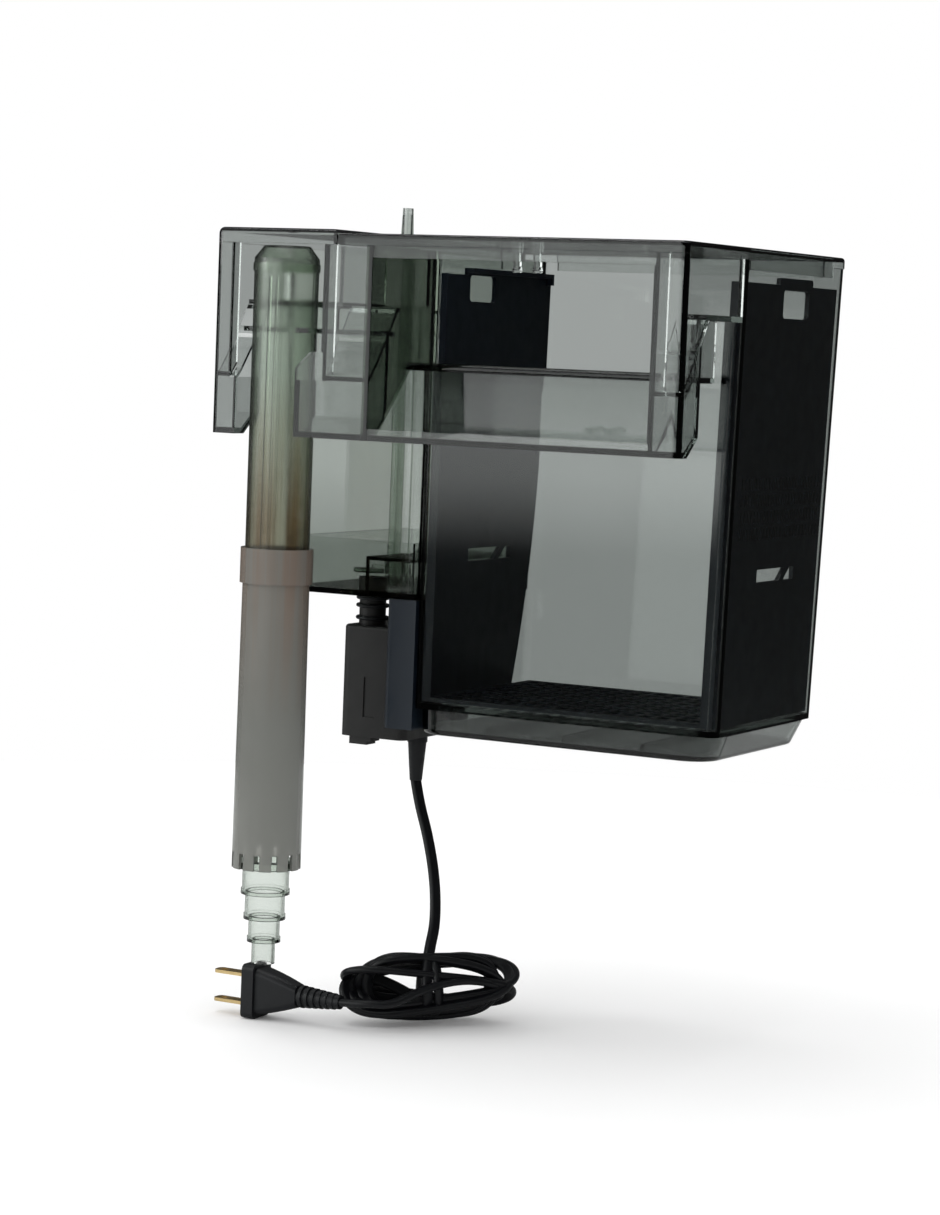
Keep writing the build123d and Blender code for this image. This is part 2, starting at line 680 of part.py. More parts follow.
def motor_end_cap():
    """The cap under the winding, with the foot that locks the pump in place."""
    cap = block(motor_left, motor_right, motor_front, motor_back, motor_bottom - 2, motor_bottom)
    cap = fillet(cap.edges().filter_by(Axis.Z), 4.0)
    cap += block(motor_left + 5, motor_left + 14, motor_front + 1, motor_front + 9,
                 motor_bottom - 5.5, motor_bottom - 2)
    cap += block(motor_left + 14, motor_left + 16, motor_front + 1, motor_front + 9,
                 motor_bottom - 4, motor_bottom - 2)
    return cap - rod_z(3.4, gland_x, gland_y, motor_bottom - 3, motor_bottom + 1)


screw_inset = 2.9
screw_places = [
    (x, y)
    for x in (motor_left + screw_inset, motor_right - screw_inset)
    for y in (motor_front + screw_inset, pump_y + 7.0)
]


def pump_screws():
    """Screws that hold the cover on the motor's case."""
    screws = []
    for x, y in screw_places:
        screws.append(rod_z(1.2, x, y, cover_bottom - 8.5, cover_bottom - 0.1))
    return Compound(screws)


def stator_core():
    """The laminated iron core behind the rotor well, a block with a leg for the coil."""
    return block(motor_left + 4, motor_right - 4, pump_y + 9, pump_y + 12.6,
                 motor_bottom + 6, cover_bottom - 6)


def stator_coil():
    """The copper winding on the core, with its bobbin's outer shape."""
    coil = block(motor_left + 5, motor_right - 5, pump_y + 13, motor_back - 2.4,
                 motor_bottom + 7, cover_bottom - 7)
    return fillet(coil.edges().filter_by(Axis.Z), 2.5)


def impeller():
    """The impeller: hub, back plate and curved blades."""
    low = cover_bottom + 0.6
    wheel = rod_z(2.6, pump_x, pump_y, low, low + 5.2)
    wheel += rod_z(blade_radius, pump_x, pump_y, low, low + 0.9)
    blade_count = 6
    for i in range(blade_count):
        turn = Rot(0, 0, 360 / blade_count * i)
        blade = Pos(pump_x, pump_y, low + 2.7) * turn * Pos(4.6, 0.9, 0) * Rot(0, 0, 22) * Box(5.4, 0.8, 4.6)
        wheel += blade
    wheel &= rod_z(blade_radius, pump_x, pump_y, low, low + 5.2)
    wheel += rod_z(3.0, pump_x, pump_y, low - 3, low)
    return wheel - rod_z(shaft_radius + 0.05, pump_x, pump_y, low - 4, low + 6)


def rotor_magnet():
    """The ceramic magnet below the impeller."""
    magnet = rod_z(magnet_radius, pump_x, pump_y, cover_bottom - 23.5, cover_bottom - 2.4)
    return magnet - rod_z(shaft_radius + 0.05, pump_x, pump_y, cover_bottom - 24, cover_bottom - 2)


def impeller_shaft():
    """The fixed ceramic shaft."""
    return rod_z(shaft_radius, pump_x, pump_y, cover_bottom - 28, cover_bottom + 8.4)


def shaft_bushings():
    """Rubber bushings that hold the shaft's two ends."""
    pair = []
    for z0, z1 in ((cover_bottom - 28.4, cover_bottom - 26), (cover_bottom + 6.6, cover_bottom + 8.4)):
        pair.append(rod_z(2.15, pump_x, pump_y, z0, z1) - rod_z(shaft_radius, pump_x, pump_y, z0 - 1, z1 + 1))
    return Compound(pair)


# ---- cord and plug ----
gland_x = left + 51.8
gland_y = front + 100.0
gland_end = motor_bottom - 22.0


def cord_gland():
    """The tapered rubber relief where the cord leaves the motor."""
    head = rod_z(3.36, gland_x, gland_y, motor_bottom - 2.0, motor_bottom - 0.2)
    collar = rod_z(4.6, gland_x, gland_y, motor_bottom - 4.5, motor_bottom - 2.0)
    return head + collar + cone_z(cord_radius + 0.2, 4.2, gland_x, gland_y, gland_end, motor_bottom - 4.5)


plug_left = left + 5.0
plug_y = front + 40.0
plug_z = floor_height + plug_height / 2
plug_length = 26.0
relief_length = 21.0
drop_route = [
    (gland_x, gland_y, gland_end),
    (-55.5, 51.8, gland_end - 9.5),
    (-48.0, 48.0, gland_end - 24.0),
    (-41.0, 43.5, gland_end - 43.0),
    (-37.5, 38.8, gland_end - 61.0),
    (-36.5, 36.0, gland_end - 71.0),
]
tail_start = plug_left + plug_length + relief_length
tail_route = [
    (tail_start, plug_y, plug_z),
    (tail_start + 8, plug_y - 0.5, plug_z + 0.5),
    (tail_start + 15, plug_y + 2, plug_z + 1),
    (tail_start + 21, plug_y + 6.5, plug_z + 0.5),
]


def arc_radii(route):
    """The largest tangent arc that each corner's two runs allow."""
    points = [Vector(*p) for p in route]
    radii = []
    for a, b, c in zip(points, points[1:], points[2:]):
        turn = math.radians((b - a).get_angle(c - b))
        shorter = min((b - a).length, (c - b).length)
        radii.append(0.45 * shorter / math.tan(turn / 2))
    return radii


def cord_tube(name, route):
    """A plain tube along a stretch of cord: straight runs joined by tangent arcs."""
    radii = arc_radii(route)
    path = FilletPolyline(*route, radius=radii)
    start = Plane(origin=path @ 0, z_dir=path % 0)
    tube = sweep(start * Circle(cord_radius), path=path)
    section = math.pi * cord_radius**2
    print(name, "radii", [round(r, 1) for r in radii], "length", round(path.length, 1),
          "volume", round(tube.volume / (section * path.length), 4))
    return tube


def cord_bundle():
    """Outer shape of the tied bundle of cord, as one closed solid."""
    outline = Pos(-38, 34, floor_height) * RectangleRounded(80, 72, 24)
    mound = extrude(outline, bundle_height)
    return fillet(mound.edges(), 10)


def plug_section(x, size_y, size_z):
    """One rounded cross-section of the plug."""
    place = Plane(origin=(x, plug_y, plug_z), x_dir=(0, 1, 0), z_dir=(1, 0, 0))
    return place * RectangleRounded(size_y, size_z, 3.0)


def plug_body():
    """The moulded two-pin plug, lying on its narrow side."""
    flange = Pos(plug_left + 3, plug_y, plug_z) * Box(6, 15, plug_height)
    flange = fillet(flange.edges().filter_by(Axis.X), 2.5)
    grip = loft([
        plug_section(plug_left + 6, 12.5, 21),
        plug_section(plug_left + 18, 11, 15),
        plug_section(plug_left + plug_length, 9, 10),
    ])
    return flange + grip


def plug_relief():
    """The ribbed relief between the plug and its cord."""
    start = plug_left + plug_length
    place = Pos(start, plug_y, plug_z) * Rot(0, 90, 0)
    relief = place * Pos(0, 0, relief_length / 2) * Cone(4.2, cord_radius + 0.5, relief_length)
    ring_count = 6
    for i in range(ring_count):
        relief += place * Pos(0, 0, 2.0 + 3.1 * i) * Cylinder(5.0 - 0.28 * i, 1.6)
    return relief


def plug_blades():
    """The plug's two flat blades."""
    blade_gap = 12.7
    blade_length = 17.4
    blades = []
    for side in (-1, 1):
        z = plug_z + side * blade_gap / 2
        blade = block(plug_left - blade_length, plug_left, plug_y - 3.2, plug_y + 3.2, z - 0.75, z + 0.75)
        blade = fillet(blade.edges().filter_by(Axis.Z).group_by(Axis.X)[0], 2.0)
        blades.append(blade - Pos(plug_left - 13, plug_y, z) * Cylinder(1.6, 4))
    return Compound(blades)


parts = {
    "intake_bay": intake_bay(),
    "media_chamber": media_chamber(),
    "bottom_pan": bottom_pan(),
    "outlet_duct": outlet_duct(),
    "spillway_hook": spillway_hook(),
    "bay_baffle": bay_baffle(),
    "main_lid": main_lid(),
    "intake_cover": intake_cover(),
    "intake_tube": intake_tube(),
    "tube_cap": tube_cap(),
    "extension_tube": extension_tube(),
    "stepped_adapter": stepped_adapter(),
    "flow_rod": flow_rod(),
    "valve_paddle": valve_paddle(),
    "basket_left_side": basket_left_side(),
    "basket_right_side": basket_right_side(),
    "basket_floor": basket_floor(),
    "pump_cover": pump_cover(),
    "neck_o_rings": neck_o_rings(),
    "outlet_o_ring": outlet_o_ring(),
    "motor_housing": motor_housing(),
    "motor_end_cap": motor_end_cap(),
    "pump_screws": pump_screws(),
    "stator_core": stator_core(),
    "stator_coil": stator_coil(),
    "impeller": impeller(),
    "rotor_magnet": rotor_magnet(),
    "impeller_shaft": impeller_shaft(),
    "shaft_bushings": shaft_bushings(),
    "cord_gland": cord_gland(),
    "cord_drop": cord_tube("cord_drop", drop_route),
    "cord_bundle": cord_bundle(),
    "cord_tail": cord_tube("cord_tail", tail_route),
    "plug_relief": plug_relief(),
    "plug_body": plug_body(),
    "plug_blades": plug_blades(),
}

for name, shape in parts.items():
    save(name, shape)
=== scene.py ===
import json
import math

import bpy
from mathutils import Matrix, Vector


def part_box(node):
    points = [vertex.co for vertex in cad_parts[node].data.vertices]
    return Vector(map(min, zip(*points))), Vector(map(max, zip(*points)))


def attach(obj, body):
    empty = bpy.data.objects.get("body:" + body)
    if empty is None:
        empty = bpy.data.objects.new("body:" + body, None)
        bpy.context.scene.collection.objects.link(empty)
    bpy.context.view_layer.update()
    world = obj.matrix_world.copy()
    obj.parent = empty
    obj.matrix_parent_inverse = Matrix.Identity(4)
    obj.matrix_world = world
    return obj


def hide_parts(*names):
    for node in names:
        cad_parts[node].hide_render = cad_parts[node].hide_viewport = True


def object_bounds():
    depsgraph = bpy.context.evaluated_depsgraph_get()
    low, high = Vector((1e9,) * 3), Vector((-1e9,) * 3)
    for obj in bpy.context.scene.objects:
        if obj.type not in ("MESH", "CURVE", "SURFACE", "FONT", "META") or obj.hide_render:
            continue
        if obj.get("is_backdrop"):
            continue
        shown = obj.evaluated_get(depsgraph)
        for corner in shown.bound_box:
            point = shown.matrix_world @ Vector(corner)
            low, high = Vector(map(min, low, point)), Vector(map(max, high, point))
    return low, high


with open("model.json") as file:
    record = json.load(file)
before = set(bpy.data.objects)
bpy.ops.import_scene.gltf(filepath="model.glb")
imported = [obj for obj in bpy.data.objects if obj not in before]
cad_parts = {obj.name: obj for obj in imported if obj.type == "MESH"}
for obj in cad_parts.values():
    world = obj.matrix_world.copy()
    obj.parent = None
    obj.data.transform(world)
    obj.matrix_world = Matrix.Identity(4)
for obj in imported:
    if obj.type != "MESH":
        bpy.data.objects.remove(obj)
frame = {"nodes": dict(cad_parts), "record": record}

# The whole scene is in metres, in the CAD model's frame: origin in the middle of the underside
# of the spillway's floor, +X right, +Y away from the aquarium, +Z up.
CAD_LOW, CAD_HIGH = (Vector(corner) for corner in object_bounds())
MIDDLE = (CAD_LOW + CAD_HIGH) / 2
MM = 0.001
UP = Vector((0, 0, 1))


# ---- camera ----
CAMERA_AZIMUTH = math.radians(28.145)
CAMERA_ELEVATION = math.radians(4.726)
CAMERA_ROLL = math.radians(2.295)
CAMERA_DISTANCE = 1.400
CAMERA_AIM = MIDDLE + Vector((-0.0155, -0.0075, 0.0060))
LENS_MM = 94.8
SENSOR_MM = 36.0


def add_camera():
    """A long lens, a little above the filter's middle and round to its right."""
    back = Vector((
        math.sin(CAMERA_AZIMUTH) * math.cos(CAMERA_ELEVATION),
        -math.cos(CAMERA_AZIMUTH) * math.cos(CAMERA_ELEVATION),
        math.sin(CAMERA_ELEVATION),
    ))
    right = (-back).cross(UP).normalized()
    up = right.cross(-back).normalized()
    tilted_right = right * math.cos(CAMERA_ROLL) + up * math.sin(CAMERA_ROLL)
    tilted_up = up * math.cos(CAMERA_ROLL) - right * math.sin(CAMERA_ROLL)
    turn = Matrix((tilted_right, tilted_up, back)).transposed()
    data = bpy.data.cameras.new("camera")
    data.lens = LENS_MM
    data.sensor_width = SENSOR_MM
    data.clip_start = 0.05
    data.clip_end = 60.0
    camera = bpy.data.objects.new("camera", data)
    camera.matrix_world = Matrix.Translation(CAMERA_AIM + back * CAMERA_DISTANCE) @ turn.to_4x4()
    bpy.context.scene.collection.objects.link(camera)
    bpy.context.scene.camera = camera


# ---- node helpers ----
SOCKETS = {
    "color": "Base Color",
    "metallic": "Metallic",
    "roughness": "Roughness",
    "ior": "IOR",
    "normal": "Normal",
    "transmission": "Transmission Weight",
    "specular": "Specular IOR Level",
}


class Nodes:
    """A short way to write the node tree of a material or of the world."""

    def __init__(self, owner):
        owner.use_nodes = True
        self.tree = owner.node_tree
        self.tree.nodes.clear()

    def add(self, kind, **settings):
        node = self.tree.nodes.new(kind)
        for key, value in settings.items():
            setattr(node, key, value)
        return node

    def link(self, source, target):
        self.tree.links.new(source, target)

    def feed(self, target, value):
        """Join a socket to an input, or set the input to a plain value."""
        if isinstance(value, bpy.types.NodeSocket):
            self.link(value, target)
        else:
            target.default_value = value

    def coordinates(self, scale=(1, 1, 1)):
        place = self.add("ShaderNodeMapping")
        place.inputs["Scale"].default_value = scale
        self.link(self.add("ShaderNodeTexCoord").outputs["Object"], place.inputs["Vector"])
        return place.outputs["Vector"]

    def axis(self, name):
        """A point's X, Y or Z in the object's own coordinates."""
        split = self.add("ShaderNodeSeparateXYZ")
        self.link(self.add("ShaderNodeTexCoord").outputs["Object"], split.inputs[0])
        return split.outputs[name]

    def calculate(self, operation, *values):
        node = self.add("ShaderNodeMath", operation=operation)
        for target, value in zip(node.inputs, values):
            self.feed(target, value)
        return node.outputs[0]

    def noise(self, vector, scale, detail=3.0, roughness=0.5):
        node = self.add("ShaderNodeTexNoise")
        self.link(vector, node.inputs["Vector"])
        node.inputs["Scale"].default_value = scale
        node.inputs["Detail"].default_value = detail
        node.inputs["Roughness"].default_value = roughness
        return node.outputs["Fac"]

    def spread(self, source, low, high, from_low=0.3, from_high=0.7):
        """Stretch a range of values over another range."""
        node = self.add("ShaderNodeMapRange")
        self.link(source, node.inputs["Value"])
        node.inputs["From Min"].default_value = from_low
        node.inputs["From Max"].default_value = from_high
        node.inputs["To Min"].default_value = low
        node.inputs["To Max"].default_value = high
        return node.outputs["Result"]

    def blend(self, factor, a, b):
        """Mix two colours, each a plain colour or a socket."""
        node = self.add("ShaderNodeMix", data_type="RGBA")
        self.link(factor, node.inputs["Factor"])
        for name, color in (("A", a), ("B", b)):
            self.feed(node.inputs[name], (*color, 1) if isinstance(color, tuple) else color)
        return node.outputs["Result"]

    def bump(self, height, strength, distance, normal=None):
        node = self.add("ShaderNodeBump")
        node.inputs["Strength"].default_value = strength
        node.inputs["Distance"].default_value = distance
        self.link(height, node.inputs["Height"])
        if normal is not None:
            self.link(normal, node.inputs["Normal"])
        return node.outputs["Normal"]

    def principled(self, **inputs):
        node = self.add("ShaderNodeBsdfPrincipled")
        for name, value in inputs.items():
            self.feed(node.inputs[SOCKETS[name]], value)
        return node.outputs["BSDF"]

    def absorption(self, tint, density):
        node = self.add("ShaderNodeVolumeAbsorption")
        node.inputs["Color"].default_value = (*tint, 1)
        node.inputs["Density"].default_value = density
        return node.outputs["Volume"]

    def output(self, surface, volume=None):
        node = self.add("ShaderNodeOutputMaterial")
        self.link(surface, node.inputs["Surface"])
        if volume is not None:
            self.link(volume, node.inputs["Volume"])


def new_material(name):
    material = bpy.data.materials.new(name)
    return material, Nodes(material)


# ---- materials ----
# A noise's scale is in cells per metre and an absorption's density is per metre.
CLEAR_IOR = 1.47
CLEAR_COLORS = ((0.985, 0.99, 0.985), (0.955, 0.965, 0.96))
# painted shade: the darker colours painted on the hook's partition plate, and how far from its middle
# they reach
PAINTED_SHADE_COLORS = ((0.17, 0.205, 0.165), (0.23, 0.265, 0.22))
PAINTED_SHADE_REACH = 1.6 * MM


def clear_plastic(name, tint, density, roughness=(0.012, 0.04), painted_shade_plate=None):
    """Moulded clear plastic: it darkens with the length of plastic that light crosses.

    The last argument is the middle of a plate in the YZ plane whose colour is painted darker as painted
    shade, or None.
    """
    material, n = new_material(name)
    where = n.coordinates()
    normal = n.bump(n.noise(where, 14, 1.0), 0.07, 0.9 * MM)
    color = n.blend(n.noise(where, 35, 2.0), *CLEAR_COLORS)
    if painted_shade_plate is not None:
        # painted shade: within the partition plate the colour is painted darker
        inside = n.calculate("COMPARE", n.axis("X"), painted_shade_plate, PAINTED_SHADE_REACH)
        color = n.blend(inside, color, n.blend(n.noise(where, 30, 2.0), *PAINTED_SHADE_COLORS))
    shader = n.principled(
        color=color,
        roughness=n.spread(n.noise(where, 24, 1.0), *roughness),
        ior=CLEAR_IOR,
        normal=normal,
        transmission=1.0,
    )
    n.output(shader, n.absorption(tint, density))
    return material


def tube_plastic(name, tint, density, body, stain, clearness, stain_full, stain_gone):
    """Used tube: smoky plastic with a milky film, drawn streaks and a brown stain.

    stain_full and stain_gone are the heights where the stain is strongest and where it ends.
    """
    material, n = new_material(name)
    where = n.coordinates()
    streaks = n.noise(n.coordinates((1, 1, 0.02)), 260, 3.0, 0.55)
    fade = n.spread(n.axis("Z"), 0.0, 1.0, stain_gone, stain_full)
    spots = n.calculate("MULTIPLY", fade, n.spread(streaks, 0.25, 1.0, 0.42, 0.62))
    normal = n.bump(n.noise(where, 18, 1.0), 0.10, 0.8 * MM)
    normal = n.bump(streaks, 0.03, 0.05 * MM, normal)
    shader = n.principled(
        color=n.blend(spots, body, stain),
        roughness=n.spread(n.noise(where, 90, 4.0, 0.65), 0.10, 0.22),
        ior=CLEAR_IOR,
        normal=normal,
        transmission=clearness,
    )
    n.output(shader, n.absorption(tint, density))
    return material


def satin_plastic(name, dark, light, roughness, specular=0.5):
    """Opaque moulded plastic with a fine spark-eroded grain."""
    material, n = new_material(name)
    where = n.coordinates()
    normal = n.bump(n.noise(where, 1400, 2.0), 0.05, 0.06 * MM)
    normal = n.bump(n.noise(where, 30, 2.0), 0.12, 0.6 * MM, normal)
    shader = n.principled(
        color=n.blend(n.noise(where, 45, 4.0, 0.6), dark, light),
        roughness=n.spread(n.noise(where, 120, 4.0, 0.6), *roughness),
        ior=1.48,
        normal=normal,
        specular=specular,
    )
    n.output(shader)
    return material


def metal(name, dark, light, roughness, stretch):
    """Bare metal with streaks, drawn out along the axis that stretch makes smallest."""
    material, n = new_material(name)
    streaks = n.noise(n.coordinates(stretch), 500, 4.0, 0.6)
    shader = n.principled(
        color=n.blend(streaks, dark, light),
        metallic=1.0,
        roughness=n.spread(streaks, *roughness),
        normal=n.bump(streaks, 0.1, 0.03 * MM),
    )
    n.output(shader)
    return material


def rubber(name, dark, light, roughness):
    """Soft matt rubber or cord jacket."""
    material, n = new_material(name)
    where = n.coordinates()
    shader = n.principled(
        color=n.blend(n.noise(where, 160, 4.0, 0.6), dark, light),
        roughness=n.spread(n.noise(where, 240, 4.0, 0.6), *roughness),
        ior=1.5,
        normal=n.bump(n.noise(where, 1800, 2.0), 0.15, 0.05 * MM),
        specular=0.3,
    )
    n.output(shader)
    return material


SMOKE = (0.52, 0.55, 0.535)
GREEN_SMOKE = (0.50, 0.56, 0.50)
SMOKE_DENSITY = 300
PARTITION_OFFSET = 4 * MM  # the hook's partition, painted darker as shade, from the media chamber's left side


def clear_finishes():
    """The see-through slots: hook and lids, pan, bay, both tubes and the hose adapter."""
    upper_tube_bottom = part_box("intake_tube")[0].z
    lower_tube_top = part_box("extension_tube")[1].z
    return {
        "smoky_clear": clear_plastic("smoky_clear", SMOKE, SMOKE_DENSITY),
        "smoky_dark": clear_plastic("smoky_dark", SMOKE, 620, roughness=(0.03, 0.09)),
        "green_clear": clear_plastic("green_clear", GREEN_SMOKE, 190),
        "clear_plastic": clear_plastic("clear_plastic", (0.80, 0.83, 0.80), 700, roughness=(0.05, 0.14)),
        "tube_grey": tube_plastic(
            "tube_grey", tint=(0.50, 0.56, 0.49), density=200, body=(0.84, 0.90, 0.83),
            stain=(0.50, 0.36, 0.22), clearness=0.97,
            stain_full=upper_tube_bottom + 20 * MM, stain_gone=upper_tube_bottom + 85 * MM,
        ),
        "tube_warm": tube_plastic(
            "tube_warm", tint=(0.56, 0.54, 0.51), density=330, body=(0.345, 0.352, 0.325),
            stain=(0.36, 0.29, 0.24), clearness=0.58,
            stain_full=lower_tube_top - 18 * MM, stain_gone=lower_tube_top - 75 * MM,
        ),
    }


def opaque_finishes():
    """The solid plastics, rubbers and metals: each has its dark colour, light colour and roughness."""
    return {
        "basket_black": satin_plastic(
            "basket_black", (0.0045, 0.0090, 0.0160), (0.0070, 0.0125, 0.0205), (0.32, 0.48),
        ),
        "motor_black": satin_plastic(
            "motor_black", (0.008, 0.008, 0.008), (0.015, 0.015, 0.0145), (0.35, 0.55), specular=0.35,
        ),
        "impeller_white": satin_plastic(
            "impeller_white", (0.70, 0.70, 0.66), (0.78, 0.78, 0.74), (0.35, 0.5),
        ),
        "ferrite": satin_plastic("ferrite", (0.05, 0.05, 0.055), (0.09, 0.09, 0.095), (0.5, 0.7)),
        "ceramic": satin_plastic("ceramic", (0.86, 0.85, 0.80), (0.92, 0.91, 0.87), (0.2, 0.35)),
        "rubber_black": rubber(
            "rubber_black", (0.0035, 0.0040, 0.0052), (0.0070, 0.0078, 0.0095), (0.36, 0.56),
        ),
        "cord_black": rubber(
            "cord_black", (0.0022, 0.0024, 0.0034), (0.0045, 0.0048, 0.0062), (0.28, 0.46),
        ),
        "steel": metal("steel", (0.50, 0.50, 0.51), (0.66, 0.66, 0.66), (0.2, 0.38), (1, 1, 0.1)),
        "iron": metal("iron", (0.20, 0.19, 0.19), (0.32, 0.31, 0.30), (0.4, 0.6), (1, 1, 12)),
        "copper": metal("copper", (0.60, 0.28, 0.12), (0.80, 0.42, 0.22), (0.25, 0.4), (0.3, 0.3, 8)),
        "brass": metal("brass", (0.62, 0.44, 0.20), (0.83, 0.64, 0.34), (0.22, 0.40), (0.15, 1, 1)),
    }


def assign_materials():
    """One procedural material for each slot of the record, and one more for the hook, whose partition
    plate is painted darker as shade.
    """
    finishes = clear_finishes() | opaque_finishes()
    partition_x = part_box("media_chamber")[0].x + PARTITION_OFFSET
    # the hook's material paints its partition plate darker as shade
    hook_finish_with_painted_shade = clear_plastic("smoky_clear_hook_painted_shade", SMOKE, SMOKE_DENSITY, painted_shade_plate=partition_x)
    slot_of = {entry["node"]: entry["material_slot"] for entry in frame["record"]["subparts"]}
    for name, node in frame["nodes"].items():
        node.data.materials.clear()
        node.data.materials.append(hook_finish_with_painted_shade if name == "spillway_hook" else finishes[slot_of[name]])
    return finishes


# ---- cord ----
CORD_WIDTH = 5.2 * MM
CORD_THICKNESS = 3.7 * MM
# the hanging stretch: across, away, and below the gland's end
DROP_ROUTE = (
    (-0.0555, 0.0518, 0.0095),
    (-0.0480, 0.0480, 0.0240),
    (-0.0410, 0.0435, 0.0430),
    (-0.0375, 0.0388, 0.0610),
    (-0.0365, 0.0360, 0.0710),
)
# the end of the tail, from the bundle to the plug's relief, in millimetres from the relief's end
TAIL_ROUTE = ((21, 6.5, 0.5), (15, 2, 1), (8, -0.5, 0.5), (0, 0, 0))
# the bundle's long and short directions on the floor
ALONG = Vector((0.76, 0.65, 0))
ACROSS = Vector((0.65, -0.76, 0))


def cord_profile():
    """Cross-section of a flat twin cord: two round cores side by side."""
    curve = bpy.data.curves.new("cord_profile", "CURVE")
    curve.dimensions = "2D"
    spline = curve.splines.new("POLY")
    steps = 20
    radius = CORD_THICKNESS / 2
    offset = CORD_WIDTH / 2 - radius
    spline.points.add(steps - 1)
    for i, point in enumerate(spline.points):
        angle = 2 * math.pi * (i + 0.5) / steps
        side = 1 if math.cos(angle) > 0 else -1
        # the cores' middles stand apart and the jacket is pinched between them
        apart = side * offset * min(1.0, abs(math.cos(angle)) * 1.6)
        waist = 0.82 + 0.18 * min(1.0, abs(math.cos(angle)) * 2.2)
        point.co = (apart + radius * math.cos(angle), radius * math.sin(angle) * waist, 0, 1)
    spline.use_cyclic_u = True
    profile = bpy.data.objects.new("cord_profile", curve)
    bpy.context.scene.collection.objects.link(profile)
    profile.hide_render = True
    profile.hide_viewport = True
    return profile


def settled(points, before, after):
    """The turns settle: each point moves towards its neighbours, then part of the way back."""
    line = [before] + points + [after]
    for step in range(14):
        weight = 0.5 if step % 2 == 0 else -0.42
        moved = [b + ((a + c) / 2 - b) * weight for a, b, c in zip(line, line[1:], line[2:])]
        line = [before] + moved + [after]
    return line[1:-1]


def waist_wrap(waist):
    """One and a half turns round the bundle's waist, which hold it together."""
    steps = 20
    turns = 1.5
    radius = 14.0 * MM
    start = math.radians(20)
    pitch = 4.6 * MM
    points = []
    for i in range(steps + 1):
        turn = i / steps * turns
        angle = start + 2 * math.pi * turn
        shift = ALONG * ((turn - 0.7) * pitch)
        points.append(waist + shift + (ACROSS * math.sin(angle) + UP * math.cos(angle)) * radius)
    return points


def loose_turns(waist, lowest, highest):
    """Turns of different size with two lobes, each leaning its own way and pinched at the waist."""
    turns = 8
    steps = 18
    first = 2  # the wrap's last points stand for the steps before it
    points = []
    for i in range(first, turns * steps + 1):
        t = i / steps
        theta = math.pi / 2 + 2 * math.pi * t
        reach = (34.0 + 5.5 * math.sin(2.3 * t + 0.8)) * MM
        if math.cos(theta) > 0:
            reach *= 1.05
        spread = (21.0 + 3.0 * math.sin(1.9 * t + 0.3)) * MM
        lean = math.radians(90 + 62 * math.sin(1.35 * t + 0.4))
        pinch = 0.46 + 0.54 * abs(math.cos(theta)) ** 0.8
        side = math.sin(theta) * spread * pinch
        # the lobes' ends rise and droop unevenly
        droop = 5.0 * MM * math.cos(theta) * math.sin(1.3 * t + 0.6)
        spot = waist + ALONG * (reach * math.cos(theta))
        spot += (UP * math.sin(lean) + ACROSS * math.cos(lean)) * side + UP * droop
        spot.z = min(max(spot.z, lowest), highest)
        points.append(spot)
    return points


def bundle_points(low, high):
    """The tied bundle, inside its CAD solid's height."""
    waist = (low + high) / 2 + Vector((2, -3, 0)) * MM
    radius = CORD_WIDTH / 2
    return waist_wrap(waist) + loose_turns(waist, low.z + radius, high.z - radius)


def add_cord(finish):
    """The cord from the motor's gland to the plug."""
    gland_low, gland_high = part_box("cord_gland")
    relief_low, relief_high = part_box("plug_relief")
    gland_middle = (gland_low + gland_high) / 2
    relief_middle = (relief_low + relief_high) / 2
    exit_point = Vector((gland_middle.x, gland_middle.y, gland_low.z))
    plug_end = Vector((relief_high.x, relief_middle.y, relief_middle.z))
    drop = [exit_point] + [Vector((x, y, exit_point.z - below)) for x, y, below in DROP_ROUTE]
    tail = [plug_end + Vector(place) * MM for place in TAIL_ROUTE]
    turns = bundle_points(*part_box("cord_bundle")) + [tail[0] + Vector((9, 10, 2)) * MM]
    # the drop's last point only guides the turns, which take its place
    points = drop[:-1] + settled(turns, drop[-2], tail[0]) + tail
    curve = bpy.data.curves.new("power_cord", "CURVE")
    curve.dimensions = "3D"
    spline = curve.splines.new("NURBS")
    spline.points.add(len(points) - 1)
    for point, place in zip(spline.points, points):
        point.co = (*place, 1)
    spline.order_u = 3
    spline.use_endpoint_u = True
    spline.resolution_u = 6
    curve.bevel_mode = "OBJECT"
    curve.bevel_object = cord_profile()
    curve.use_fill_caps = True
    curve.materials.append(finish)
    cord = bpy.data.objects.new("power_cord", curve)
    bpy.context.scene.collection.objects.link(cord)
    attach(cord, "filter_body")
    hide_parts("cord_drop", "cord_bundle", "cord_tail")


# ---- surroundings ----
FLOOR_RADIUS = 0.90
FLOOR_GAP = 0.3 * MM  # below the lowest piece
OVERHEAD_WATTS = 5
LEFT_WATTS = 4


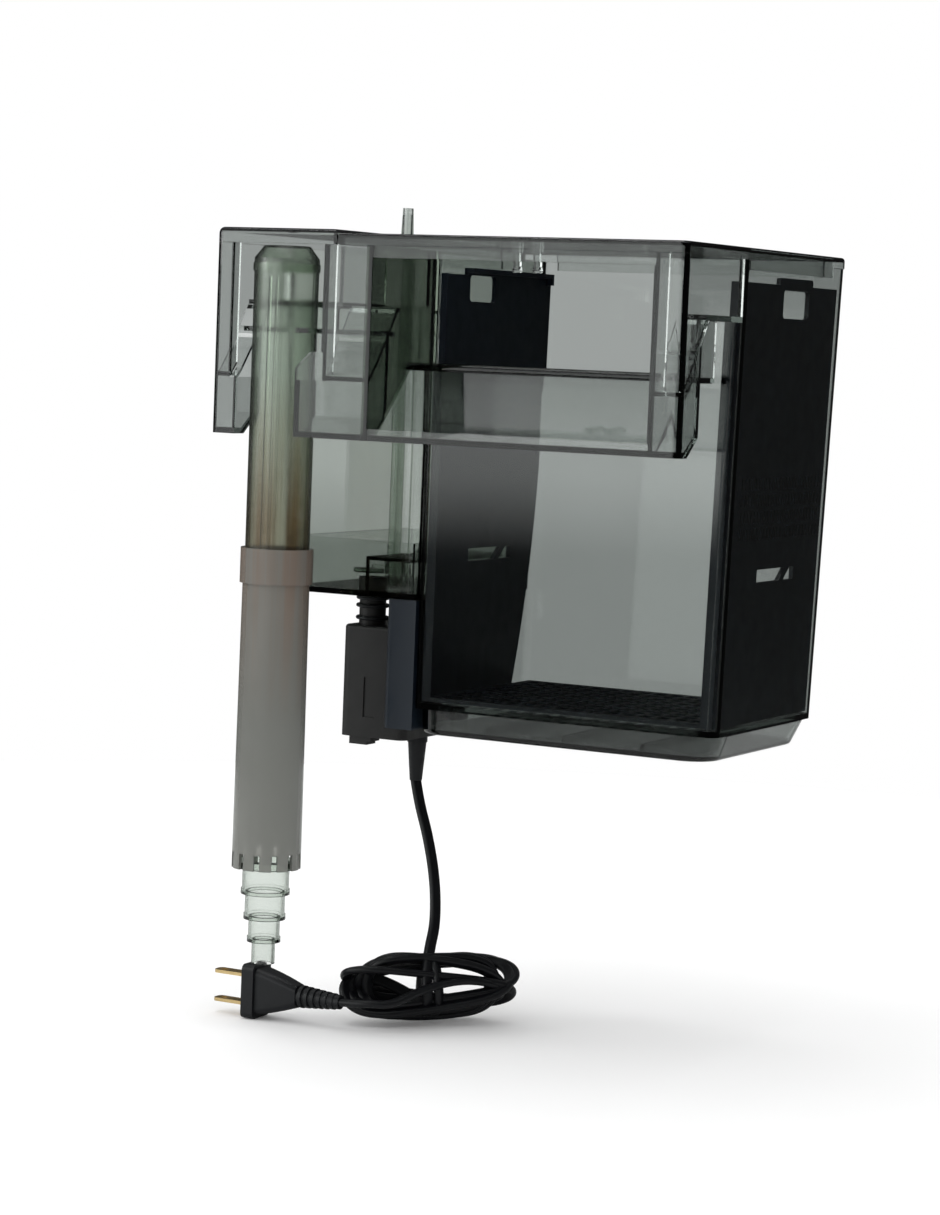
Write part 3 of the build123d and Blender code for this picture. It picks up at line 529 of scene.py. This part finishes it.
def add_floor():
    """A plain pale floor that the cord's bundle and the plug lie on."""
    steps = 96
    height = CAD_LOW.z - FLOOR_GAP
    angles = [2 * math.pi * i / steps for i in range(steps)]
    rim = [(FLOOR_RADIUS * math.cos(angle), FLOOR_RADIUS * math.sin(angle), height) for angle in angles]
    mesh = bpy.data.meshes.new("floor")
    mesh.from_pydata(rim, [], [list(range(steps))])
    floor = bpy.data.objects.new("floor", mesh)
    bpy.context.scene.collection.objects.link(floor)
    material, n = new_material("floor")
    where = n.coordinates()
    color = n.blend(n.noise(where, 6, 3.0), (0.955, 0.955, 0.955), (0.97, 0.97, 0.97))
    n.output(n.principled(color=color, roughness=n.spread(n.noise(where, 40), 0.75, 0.9), specular=0.1))
    mesh.materials.append(material)
    floor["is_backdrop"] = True


def glow(n, direction, towards, strengths, cosines):
    """A soft patch of light: its strength over a range of cosines of the angle from its middle."""
    dot = n.add("ShaderNodeVectorMath", operation="DOT_PRODUCT")
    n.link(direction, dot.inputs[0])
    dot.inputs[1].default_value = Vector(towards).normalized()
    return n.spread(dot.outputs["Value"], *strengths, *cosines)


def background(n, color, strength):
    node = n.add("ShaderNodeBackground")
    node.inputs["Color"].default_value = (*color, 1)
    n.feed(node.inputs["Strength"], strength)
    return node.outputs["Background"]


def mix_shaders(n, factor, a, b):
    node = n.add("ShaderNodeMixShader")
    for target, source in zip(node.inputs, (factor, a, b)):
        n.link(source, target)
    return node.outputs["Shader"]


def add_world():
    """White surroundings, a grey studio seen through clear plastic, and a dark one mirrored in gloss."""
    world = bpy.data.worlds.new("studio")
    bpy.context.scene.world = world
    n = Nodes(world)
    path = n.add("ShaderNodeLightPath").outputs
    direction = n.add("ShaderNodeTexCoord").outputs["Generated"]
    cool = (0.97, 1.0, 0.99)
    white = background(n, (1, 1, 1), 1.0)
    seen_through = background(n, cool, glow(n, direction, UP, (0.52, 0.56), (-0.35, 0.45)))
    # a tall softbox at the front left ends just below the horizon, with a glow overhead
    softbox = n.calculate(
        "MULTIPLY",
        glow(n, direction, (-0.5, -0.87, 0), (0.0, 1.9), (0.62, 0.93)),
        glow(n, direction, UP, (0.0, 1.0), (-0.065, -0.04)),
    )
    overhead = glow(n, direction, UP, (0.03, 0.75), (0.45, 0.98))
    mirrored = background(n, cool, n.calculate("ADD", softbox, overhead))
    was_mirrored = n.calculate("GREATER_THAN", path["Glossy Depth"], 0.5)
    unmirrored = mix_shaders(n, path["Is Transmission Ray"], white, seen_through)
    node = n.add("ShaderNodeOutputWorld")
    n.link(mix_shaders(n, was_mirrored, unmirrored, mirrored), node.inputs["Surface"])


def add_softbox(name, offset, size, watts):
    """An area light that faces the filter's middle."""
    data = bpy.data.lights.new(name, "AREA")
    data.shape = "RECTANGLE"
    data.size, data.size_y = size
    data.energy = watts
    place = MIDDLE + Vector(offset)
    turn = Vector(offset).to_track_quat("Z", "Y").to_matrix().to_4x4()
    lamp = bpy.data.objects.new(name, data)
    lamp.matrix_world = Matrix.Translation(place) @ turn
    bpy.context.scene.collection.objects.link(lamp)


def add_studio():
    """Floor, world and two soft lamps, and enough bounces for light to cross all the clear walls."""
    add_floor()
    add_world()
    add_softbox("overhead_softbox", (-0.2, -0.1, 1.3), (0.9, 0.9), OVERHEAD_WATTS)
    add_softbox("left_softbox", (-1.2, -0.9, 0.6), (0.5, 0.9), LEFT_WATTS)
    scene = bpy.context.scene
    scene.view_settings.view_transform = "Standard"
    scene.cycles.transparent_max_bounces = 16
    scene.cycles.transmission_bounces = 24
    scene.cycles.max_bounces = 28


add_camera()
finishes = assign_materials()
add_cord(finishes["cord_black"])
add_studio()
